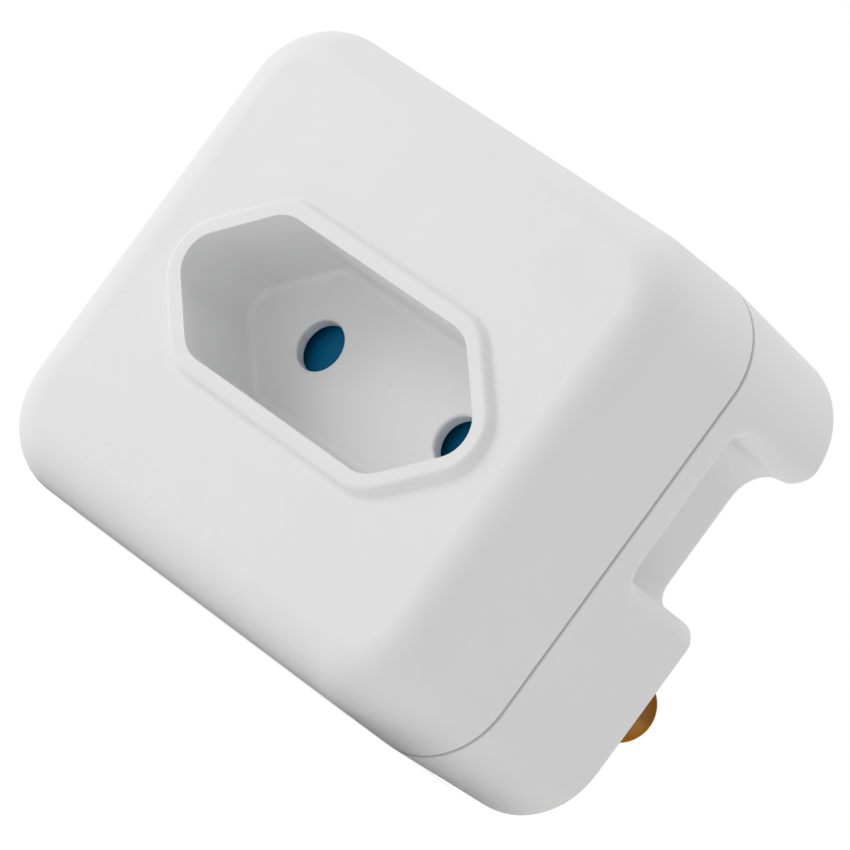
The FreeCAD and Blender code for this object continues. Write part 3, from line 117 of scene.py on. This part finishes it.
# The new roundings fade in over this distance from a bore, or over this depth past the flare.
BORE_FADE, DEPTH_FADE = 0.8 * MM, 1.5 * MM
# A point that is off a wall by less than this still lies on it.
HAIR = 0.02 * MM
# Faces this close to a grip's space are cut finer, at these shares of each rounding.
CUT_REACH = 3.5 * MM
CUT_SHARES = (0.03, 0.1, 0.2, 0.34, 0.5, 0.7, 0.95)
CUT_HAIR = 1e-7
# A face has folded over when its normal's share along the old one falls below this.
FOLDED = -0.3
# A plane with this much area sets the normals along its border. Faces are in one plane when these
# steps of their normal and of their distance from the origin agree.
LARGE_FLAT = 25 * MM ** 2
NORMAL_STEP, PLANE_STEP = 1 / 300, 0.02 * MM
# The weighted-normal modifier's own numbers for strong and weak faces.
STRONG, WEAK = 16384, -16384


def onto_ball(first, second, radius):
    """Roll a ball along two walls and move what lies behind it onto it.

    first and second are a point's distances from the walls, so the ball's centre is at
    (radius, radius). A point nearer to both walls than radius, and farther from the centre
    than radius, moves straight towards the centre until it is radius away from it.
    """
    one, two = radius - first, radius - second
    away = np.maximum(np.hypot(one, two), 1e-9)
    behind = (one > 0) & (two > 0) & (away > radius)
    share = np.where(behind, radius / away, 1.0)
    return radius - one * share, radius - two * share


def from_outline(depth, height):
    """Distance from the mouth's outline, outside positive, and the direction in which it grows.

    The outline is a rectangle open to the wall face, with two round front corners: the
    distance is measured to a rectangle smaller by the corner's radius, less that radius.
    """
    middle, half = (GRIP_LOW + GRIP_HIGH) / 2, (GRIP_HIGH - GRIP_LOW) / 2
    up = np.where(height < middle, -1.0, 1.0)
    ahead = depth - (GRIP_FRONT - CORNER_ROUND)
    beside = np.abs(height - middle) - (half - CORNER_ROUND)
    past = np.hypot(np.maximum(ahead, 0), np.maximum(beside, 0))
    distance = past + np.minimum(np.maximum(ahead, beside), 0) - CORNER_ROUND
    round_part = (ahead > 0) & (beside > 0)
    safe = np.maximum(past, 1e-9)
    along_depth = np.where(round_part, ahead / safe, np.where(ahead > beside, 1.0, 0.0))
    along_height = np.where(round_part, beside / safe, np.where(ahead > beside, 0.0, 1.0)) * up
    return distance, along_depth, along_height


def edge_loss(depth, radius):
    """How far a rounded edge stands back at a depth: radius - sqrt(radius^2 - (radius - depth)^2)."""
    rest = np.clip(radius - depth, 0, radius)
    return radius - np.sqrt(radius ** 2 - rest ** 2)


def blended(depth, height, rounds):
    """The radius at a point: each side's own, weighted by exp(-distance / BLEND_REACH) from that side."""
    gaps = (GRIP_FRONT - depth, GRIP_HIGH - height, height - GRIP_LOW)
    weights = [np.exp(-np.abs(gap) / BLEND_REACH) + 1e-12 for gap in gaps]
    return sum(weight * radius for weight, radius in zip(weights, rounds)) / sum(weights)


def round_corners(near, depth, height):
    """Roll the ball into the outline's two front corners."""
    for edge, sign in ((GRIP_HIGH, 1.0), (GRIP_LOW, -1.0)):
        ahead, beside = GRIP_FRONT - depth, sign * (edge - height)
        inside = near & (ahead > -HAIR) & (beside > -HAIR)
        new_ahead, new_beside = onto_ball(np.maximum(ahead, 0), np.maximum(beside, 0), CORNER_ROUND)
        depth = np.where(inside, GRIP_FRONT - new_ahead, depth)
        height = np.where(inside, edge - sign * new_beside, height)
    return depth, height


def round_floor(near, across, depth, height, flare):
    """Roll the ball along the floor and the walls, inside the outline."""
    distance, along_depth, along_height = from_outline(depth, height)
    inside = near & (distance - flare < HAIR)
    low, gap = np.maximum(across - (GRIP_FLOOR - flare), 0), np.maximum(flare - distance, 0)
    new_low, new_gap = onto_ball(low, gap, blended(depth, height, FLOOR_ROUNDS) + flare)
    rise, step = np.where(inside, new_low - low, 0), np.where(inside, new_gap - gap, 0)
    return across + rise, depth - along_depth * step, height - along_height * step


def round_mouth(near, across, depth, height, flare, loss):
    """Roll the ball along the walls and the leaning side wall, outside the outline."""
    distance, along_depth, along_height = from_outline(depth, height)
    outside = near & (distance - flare > -HAIR)
    wall = SIDE_OUT + SIDE_LEAN * depth - loss
    sunk, gap = np.maximum(wall - across, 0), np.maximum(distance - flare, 0)
    radius = np.maximum(blended(depth, height, MOUTH_ROUNDS) - (flare + loss) / 2, LEAST_ROUND)
    new_sunk, new_gap = onto_ball(sunk, gap, radius)
    step = np.where(outside, new_gap - gap, 0)
    rise = np.where(outside, sunk - new_sunk, 0) + SIDE_LEAN * along_depth * step
    return across + rise, depth + along_depth * step, height + along_height * step


def soften_grips(points):
    """Larger, blended roundings for the grips, in three passes of a rolled ball.

    Near a screw's bore the first millimetres stay as they are: the moved points are mixed with
    the old ones by a smoothstep of the distance from the bore, or of the depth.
    """
    side = np.where(points[:, 0] < 0, -1.0, 1.0)
    across, depth, height = np.abs(points[:, 0]), -points[:, 1], points[:, 2]
    from_bore = (np.hypot(across - BORE_ACROSS, height - BORE_UP) - BORE_ROUND) / BORE_FADE
    kept = 1 - np.clip(np.maximum(from_bore, (depth - FLARE_ROUND) / DEPTH_FADE), 0, 1)
    kept = kept ** 2 * (3 - 2 * kept)
    flare, loss = edge_loss(depth, FLARE_ROUND), edge_loss(depth, REAR_ROUND)
    near = (across > GRIP_FLOOR - flare - HAIR) & (depth > -HAIR)
    depth, height = round_corners(near, depth, height)
    across, depth, height = round_floor(near, across, depth, height, flare)
    across, depth, height = round_mouth(near, across, depth, height, flare, loss)
    moved = np.stack((side * across, -depth, height), axis=1)
    return moved + (points - moved) * kept[:, None]


def near_grip(face):
    """Whether a face's box comes within CUT_REACH of a grip's space."""
    spots = [vert.co for vert in face.verts]
    return (max(abs(spot.x) for spot in spots) > GRIP_FLOOR - CUT_REACH
            and max(spot.z for spot in spots) > GRIP_LOW - CUT_REACH
            and min(spot.z for spot in spots) < GRIP_HIGH + CUT_REACH
            and max(spot.y for spot in spots) > -GRIP_FRONT - CUT_REACH)


def cutting_planes():
    """Planes, each a point and a normal, at shares of the roundings on both sides of the grips' edges."""
    front_mouth, upper_mouth, lower_mouth = MOUTH_ROUNDS
    upper_floor, lower_floor = FLOOR_ROUNDS[1:]
    planes = []
    for edge, sign, outer, inner in ((GRIP_HIGH, 1, upper_mouth, upper_floor),
                                     (GRIP_LOW, -1, lower_mouth, lower_floor)):
        for share in CUT_SHARES:
            planes.append(((0, 0, edge + sign * share * outer), (0, 0, 1)))
            planes.append(((0, 0, edge - sign * share * inner), (0, 0, 1)))
    for share in CUT_SHARES:
        planes.append(((0, -GRIP_FRONT - share * front_mouth, 0), (0, 1, 0)))
        planes.append(((0, -GRIP_FRONT + share * upper_floor, 0), (0, 1, 0)))
        for sign in (1, -1):
            planes.append(((sign * (GRIP_FLOOR + share * upper_floor), 0, 0), (1, 0, 0)))
            planes.append(((sign * (SIDE_OUT - share * upper_mouth), 0, 0), (1, sign * SIDE_LEAN, 0)))
    return planes


def rank_faces(mesh):
    """Let the large flats set the normals along their borders.

    Faces that lie in one plane are put together by their normal and their distance from the
    origin, and a plane with more than LARGE_FLAT of area is strong for the modifier.
    """
    count = len(mesh.polygons)
    normals, centres, areas = np.empty(count * 3), np.empty(count * 3), np.empty(count)
    mesh.polygons.foreach_get("normal", normals)
    mesh.polygons.foreach_get("center", centres)
    mesh.polygons.foreach_get("area", areas)
    normals, centres = normals.reshape(-1, 3), centres.reshape(-1, 3)
    away = (normals * centres).sum(axis=1)
    planes = np.round(np.column_stack((normals / NORMAL_STEP, away / PLANE_STEP)))
    group = np.unique(planes, axis=0, return_inverse=True)[1].ravel()
    large = np.bincount(group, weights=areas)[group] > LARGE_FLAT
    layer = mesh.attributes.new("__mod_weightednormals_faceweight", "INT", "FACE")
    layer.data.foreach_set("value", np.where(large, STRONG, WEAK).astype(np.int32))


def grip_shell():
    """The rear housing with softer grips: its mesh merged, cut along close planes, then rounded."""
    work = merged("rear_housing")
    close = [face for face in work.faces if near_grip(face)]
    part = {piece for face in close for piece in (*face.verts, *face.edges, face)}
    for spot, normal in cutting_planes():
        cut = bmesh.ops.bisect_plane(work, geom=list(part), dist=CUT_HAIR, plane_co=spot, plane_no=normal)
        part = cut["geom"]
    bmesh.ops.triangulate(work, faces=work.faces[:])
    before = [face.normal.copy() for face in work.faces]
    for vert, spot in zip(work.verts, soften_grips(np.array([vert.co for vert in work.verts]))):
        vert.co = spot
    work.normal_update()
    # Slivers that folded over lie behind their neighbours, and are taken out.
    folded = [face for face, normal in zip(work.faces, before) if face.normal.dot(normal) < FOLDED]
    bmesh.ops.delete(work, geom=folded, context="FACES")
    shell = stand_in("rear_shell", work, "housing", "rear_housing")
    rank_faces(shell.data)
    finish = shell.modifiers.new("even_normals", "WEIGHTED_NORMAL")
    finish.keep_sharp = True
    finish.use_face_influence = True
    return shell


rear_shell = grip_shell()


# Springs

def pressed_coil(node, body):
    """A spring's coil: the node's mesh, its loose triangles merged, as a piece that rides a body in the
    node's place.
    """
    coil = stand_in(node + "_coil", merged(node), body, node)
    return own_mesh(coil)


# The shutter's spring pushes against the carrier's end wall.
shutter_coil = pressed_coil("shutter_spring", "housing")
# The plunger's spring sits at the end of the rocker's bore.
plunger_coil = pressed_coil("plunger_spring", "rocker")


# Shading

# Widths of the soft patterns: the melt's flow in a mould, patches of sheen, and clouds of tarnish.
FLOW, SHEEN, TARNISH = 14 * MM, 5 * MM, 6 * MM
# The fine grain's share in a moulded tone. The rest is the flow's.
GRAIN_SHARE = 0.3
# How far roughness strays from its middle: both ways on plastic, and each way on metal.
MOULD_STRAY, METAL_SMOOTHER, METAL_ROUGHER = 0.05, 0.08, 0.1
# Along a tool line its pattern is drawn out, to this share of the frequency across it.
DRAWN_OUT = 0.04
# How deep tool lines are.
LINE_DEPTH = 0.004 * MM
# The tone of the seam's line, part dust in the joint and part painted shade of the gap, and how much of it
# covers the white where the seam is darkest.
SEAM_TONE, SEAM_COVER = "8d8c8a", 0.65
# The seam's line is at its darkest up to the first of these distances, and gone from the second on.
SEAM_DARK, SEAM_CLEAR = 0.1 * MM, 0.26 * MM


def linear(code):
    """A colour written as sRGB hex, turned to linear RGBA."""
    channels = []
    for start in (0, 2, 4):
        share = int(code[start:start + 2], 16) / 255
        channels.append(share / 12.92 if share <= 0.04045 else ((share + 0.055) / 1.055) ** 2.4)
    return (*channels, 1.0)


def empty_tree(owner):
    """The node tree of a material or world, with nothing in it."""
    owner.use_nodes = True
    owner.node_tree.nodes.clear()
    return owner.node_tree


def add(tree, kind, inputs=None, stops=(), **settings):
    """Add a node with its settings and colour stops, set or link its inputs, and return its outputs."""
    node = tree.nodes.new(kind)
    for setting, content in settings.items():
        setattr(node, setting, content)
    for number, (position, code) in enumerate(stops):
        points = node.color_ramp.elements
        point = points[number] if number < len(points) else points.new(position)
        point.position = position
        point.color = linear(code)
    for name, content in (inputs or {}).items():
        if isinstance(content, bpy.types.NodeSocket):
            tree.links.new(content, node.inputs[name])
        else:
            node.inputs[name].default_value = content
    return node.outputs


def seam_dust_and_shade(tree, place, colour):
    """The colour with the seam's dark line over it: dust in the joint, and painted shade of the gap between
    the shells.

    The line's share falls evenly from SEAM_COVER to nothing with the distance from the seam's plane.
    """
    depth = add(tree, "ShaderNodeSeparateXYZ", {"Vector": place})["Y"]
    off = add(tree, "ShaderNodeMath", {0: depth, 1: SEAM_Y}, operation="SUBTRACT")[0]
    away = add(tree, "ShaderNodeMath", {0: off}, operation="ABSOLUTE")[0]
    share = add(tree, "ShaderNodeMapRange", {"Value": away, "From Min": SEAM_DARK, "From Max": SEAM_CLEAR,
                                             "To Min": SEAM_COVER, "To Max": 0.0})[0]
    # Sockets 6, 7 and 2 of a colour Mix are its A, B and result.
    return add(tree, "ShaderNodeMix", {0: share, 6: colour, 7: linear(SEAM_TONE)}, data_type="RGBA")[2]


def moulded(name, light, dark, rough, grain, grain_depth, ior=1.58, specular=0.5, seam=False):
    """Injection-moulded plastic: faint flow tone, a spark-eroded grain and uneven sheen."""
    material = bpy.data.materials.new(name)
    tree = empty_tree(material)
    place = add(tree, "ShaderNodeTexCoord")["Object"]
    flow = add(tree, "ShaderNodeTexNoise", {"Vector": place, "Scale": 1 / FLOW, "Detail": 3})["Fac"]
    fine = add(tree, "ShaderNodeTexNoise", {"Vector": place, "Scale": 1 / grain, "Detail": 2})["Fac"]
    sheen = add(tree, "ShaderNodeTexNoise", {"Vector": place, "Scale": 1 / SHEEN, "Detail": 2})["Fac"]
    # Sockets 2, 3 and 0 of a plain Mix are its A, B and result.
    tone = add(tree, "ShaderNodeMix", {0: GRAIN_SHARE, 2: flow, 3: fine})[0]
    colour = add(tree, "ShaderNodeValToRGB", {"Fac": tone}, stops=((0.25, dark), (0.75, light)))["Color"]
    # The seam's dark line: dust, and painted shade of the gap between the shells.
    if seam:
        colour = seam_dust_and_shade(tree, place, colour)
    polish = add(tree, "ShaderNodeMapRange",
                 {"Value": sheen, "To Min": rough - MOULD_STRAY, "To Max": rough + MOULD_STRAY})[0]
    bump = add(tree, "ShaderNodeBump", {"Height": fine, "Distance": grain_depth})[0]
    shader = add(tree, "ShaderNodeBsdfPrincipled",
                 {"Base Color": colour, "Roughness": polish, "Normal": bump, "IOR": ior,
                  "Specular IOR Level": specular})
    add(tree, "ShaderNodeOutputMaterial", {"Surface": shader[0]})
    return material


def turned_metal(name, light, dark, rough, line, axis, stain=None, edge="ffffff"):
    """Turned or drawn metal: fine tool lines round one axis, soft tarnish and uneven polish.

    Tarnish also tints the glancing reflections, with the edge colour.
    """
    material = bpy.data.materials.new(name)
    tree = empty_tree(material)
    place = add(tree, "ShaderNodeTexCoord")["Object"]
    stretch = tuple(1.0 if number == axis else DRAWN_OUT for number in range(3))
    drawn = add(tree, "ShaderNodeMapping", {"Vector": place, "Scale": stretch})[0]
    lines = add(tree, "ShaderNodeTexNoise", {"Vector": drawn, "Scale": 1 / line, "Detail": 2})["Fac"]
    cloud = add(tree, "ShaderNodeTexNoise", {"Vector": place, "Scale": 1 / TARNISH, "Detail": 2})["Fac"]
    stops = ((0.1, stain), (0.45, dark), (0.85, light)) if stain else ((0.2, dark), (0.8, light))
    colour = add(tree, "ShaderNodeValToRGB", {"Fac": cloud}, stops=stops)["Color"]
    polish = add(tree, "ShaderNodeMapRange",
                 {"Value": lines, "To Min": rough - METAL_SMOOTHER, "To Max": rough + METAL_ROUGHER})[0]
    bump = add(tree, "ShaderNodeBump", {"Height": lines, "Distance": LINE_DEPTH})[0]
    shader = add(tree, "ShaderNodeBsdfPrincipled",
                 {"Base Color": colour, "Metallic": 1.0, "Roughness": polish, "Normal": bump,
                  "Specular Tint": linear(edge)})
    add(tree, "ShaderNodeOutputMaterial", {"Surface": shader[0]})
    return material


# Materials, one for each finish

# White polycarbonate shells, matte from a fine spark-eroded mould, so that they show no highlight.
# The real grain is near 0.1 mm and is drawn at 0.26 mm, so that it shows.
shell_white = moulded("matte_white_polycarbonate", "ededed", "eaeaea", rough=0.55, grain=0.26 * MM,
                      grain_depth=0.016 * MM, seam=True)
# The rocker is the same plastic from a smoother mould, with a soft sheen.
rocker_white = moulded("satin_white_polycarbonate", "ececec", "e9e9e9", rough=0.34, grain=0.3 * MM,
                       grain_depth=0.003 * MM)
# Dyed nylon of the shutter: deep in colour, with hardly any reflection.
shutter_blue = moulded("dark_blue_nylon", "0072a0", "00638e", rough=0.5, grain=0.3 * MM,
                       grain_depth=0.004 * MM, ior=1.53, specular=0.15)
# Natural nylon of the carrier and the switch's frame: a waxy, yellowish white.
inner_nylon = moulded("natural_nylon", "d3cdbd", "c8c1af", rough=0.5, grain=0.4 * MM,
                      grain_depth=0.006 * MM, ior=1.53)
# Black acetal plunger, smooth and a little shiny.
acetal_black = moulded("black_acetal", "2b2b2d", "222224", rough=0.38, grain=0.3 * MM,
                       grain_depth=0.003 * MM, ior=1.48)
# Plug pins: turned brass, dulled by handling, brown in patches and at the edges.
pin_brass = turned_metal("turned_pin_brass", "8a6136", "735031", rough=0.34, line=0.12 * MM, axis=1,
                         stain="5b4127", edge="ccb08c")
# Nuts: turned brass, bright from the lathe.
nut_brass = turned_metal("turned_nut_brass", "d2ab62", "bf9650", rough=0.28, line=0.1 * MM, axis=1)
# Strip for the straps and the lever: brass with fine lines from the rolls.
strip_brass = turned_metal("rolled_strip_brass", "d8b468", "c39f57", rough=0.32, line=0.15 * MM, axis=0)
# Sleeves that grip a plug's pins: spring brass, polished by use.
sleeve_brass = turned_metal("sleeve_spring_brass", "dcba72", "c8a45c", rough=0.26, line=0.12 * MM, axis=1)
# Screws: zinc-plated steel, a cold grey.
zinc_steel = turned_metal("zinc_plated_steel", "c3c5c8", "a9acb0", rough=0.34, line=0.2 * MM, axis=1)
# Axle: bright drawn steel, the smoothest of the metals.
drawn_steel = turned_metal("bright_drawn_steel", "cfd1d3", "b8babc", rough=0.22, line=0.08 * MM, axis=1)
# Springs and clips: spring steel, darkened by oil.
spring_steel = turned_metal("oiled_spring_steel", "8f9196", "74767b", rough=0.3, line=0.1 * MM, axis=0)
# Contact tips: silver alloy, pale with a trace of yellow sulphide.
tip_silver = turned_metal("contact_silver", "dcdad4", "b9b4a8", rough=0.36, line=0.3 * MM, axis=0)

FINISHES = {
    shell_white: ("front_housing", "rear_housing"),
    rocker_white: ("rocker",),
    shutter_blue: ("shutter",),
    inner_nylon: ("contact_carrier", "switch_frame"),
    acetal_black: ("rocker_plunger",),
    pin_brass: ("live_pin", "neutral_pin", "earth_pin"),
    nut_brass: ("pin_nuts",),
    strip_brass: ("live_strap", "neutral_strap", "switched_strap", "contact_lever"),
    sleeve_brass: ("live_socket_contact", "neutral_socket_contact"),
    zinc_steel: ("housing_screws", "carrier_screws"),
    drawn_steel: ("rocker_axle",),
    spring_steel: ("contact_clips", "shutter_spring", "plunger_spring"),
    tip_silver: ("lever_tip", "fixed_tip"),
}
rear_shell.data.materials.append(shell_white)
for coil in (shutter_coil, plunger_coil):
    coil.data.materials.append(spring_steel)
for material, names in FINISHES.items():
    for name in names:
        data = nodes[name].data
        data.materials.clear()
        data.materials.append(material)


# Stage

def seen_directly(tree):
    """1 for what the camera, a gloss or a glass sees, 0 for what only lights."""
    path = add(tree, "ShaderNodeLightPath")
    seen = add(tree, "ShaderNodeMath", {0: path["Is Camera Ray"], 1: path["Is Glossy Ray"]},
               operation="ADD")[0]
    return add(tree, "ShaderNodeMath", {0: seen, 1: path["Is Transmission Ray"]},
               operation="ADD", use_clamp=True)[0]


# A white floor that the adapter stands on, seen as white, with the adapter's shadow on it. It
# reaches this far from the middle, in metres.
REACH = 6.0
corners = [(x, y, cad_low.z) for x, y in ((-REACH, -REACH), (REACH, -REACH), (REACH, REACH), (-REACH, REACH))]
floor_mesh = bpy.data.meshes.new("floor")
floor_mesh.from_pydata(corners, [], [(0, 1, 2, 3)])
floor = bpy.data.objects.new("floor", floor_mesh)
bpy.context.collection.objects.link(floor)
floor_white = bpy.data.materials.new("white_floor")
floor_mesh.materials.append(floor_white)
tree = empty_tree(floor_white)
diffuse = add(tree, "ShaderNodeBsdfDiffuse", {"Color": linear("fafafa")})[0]
glow = add(tree, "ShaderNodeEmission", {"Color": linear("ffffff"), "Strength": 0.8})[0]
lit = add(tree, "ShaderNodeAddShader", {0: diffuse, 1: glow})[0]
mixed = add(tree, "ShaderNodeMixShader", {0: seen_directly(tree), 1: diffuse, 2: lit})[0]
add(tree, "ShaderNodeOutputMaterial", {"Surface": mixed})

# The world gives even fill light, and shows as white where the floor ends.
world = bpy.data.worlds.new("studio")
bpy.context.scene.world = world
tree = empty_tree(world)
fill = add(tree, "ShaderNodeBackground", {"Color": linear("ffffff"), "Strength": 0.55})[0]
white = add(tree, "ShaderNodeBackground", {"Color": linear("ffffff"), "Strength": 1.0})[0]
mixed = add(tree, "ShaderNodeMixShader", {0: seen_directly(tree), 1: fill, 2: white})[0]
add(tree, "ShaderNodeOutputWorld", {"Surface": mixed})


def softbox(name, spot, aim, size, power):
    """A square area light at spot, turned to aim, all in metres and watts."""
    data = bpy.data.lights.new(name, "AREA")
    data.size = size
    data.energy = power
    lamp = bpy.data.objects.new(name, data)
    lamp.location = spot
    lamp.rotation_euler = (Vector(aim) - Vector(spot)).to_track_quat("-Z", "Y").to_euler()
    bpy.context.collection.objects.link(lamp)


# The middle of the adapter.
CENTRE = (0.0, -0.017, 0.0)
softbox("key", spot=(-0.6, -0.45, 0.12), aim=CENTRE, size=0.4, power=2.05)
softbox("top", spot=(0.1, 0.05, 0.75), aim=CENTRE, size=0.4, power=1.3)

# Camera: its place and turn come from the fit to the photograph, and its roll is the photograph's.
SPOT = Vector((371.27, -481.02, -15.58)) * MM
FORWARD = Vector((-0.624353, 0.780715, 0.025828))
UPWARD = Vector((-0.002273, -0.034880, 0.999389))
ROLL = 34.8
# The sensor's width in millimetres, and the picture's width and the focal length in pixels.
SENSOR, PICTURE, FOCAL = 36, 850, 6732
camera_data = bpy.data.cameras.new("camera")
camera_data.sensor_width = SENSOR
camera_data.lens = SENSOR * FOCAL / PICTURE
camera_data.clip_start = 10 * MM
camera = bpy.data.objects.new("camera", camera_data)
bpy.context.collection.objects.link(camera)
# The camera turns anticlockwise, so that the object turns clockwise in the picture.
roll = math.radians(ROLL)
right = FORWARD.cross(UPWARD).normalized()
above = right.cross(FORWARD).normalized()
side = right * math.cos(roll) + above * math.sin(roll)
top = above * math.cos(roll) - right * math.sin(roll)
turn = Matrix((side, top, -FORWARD)).transposed()
camera.matrix_world = Matrix.Translation(SPOT) @ turn.to_4x4()
bpy.context.scene.camera = camera
bpy.context.scene.view_settings.view_transform = "Standard"
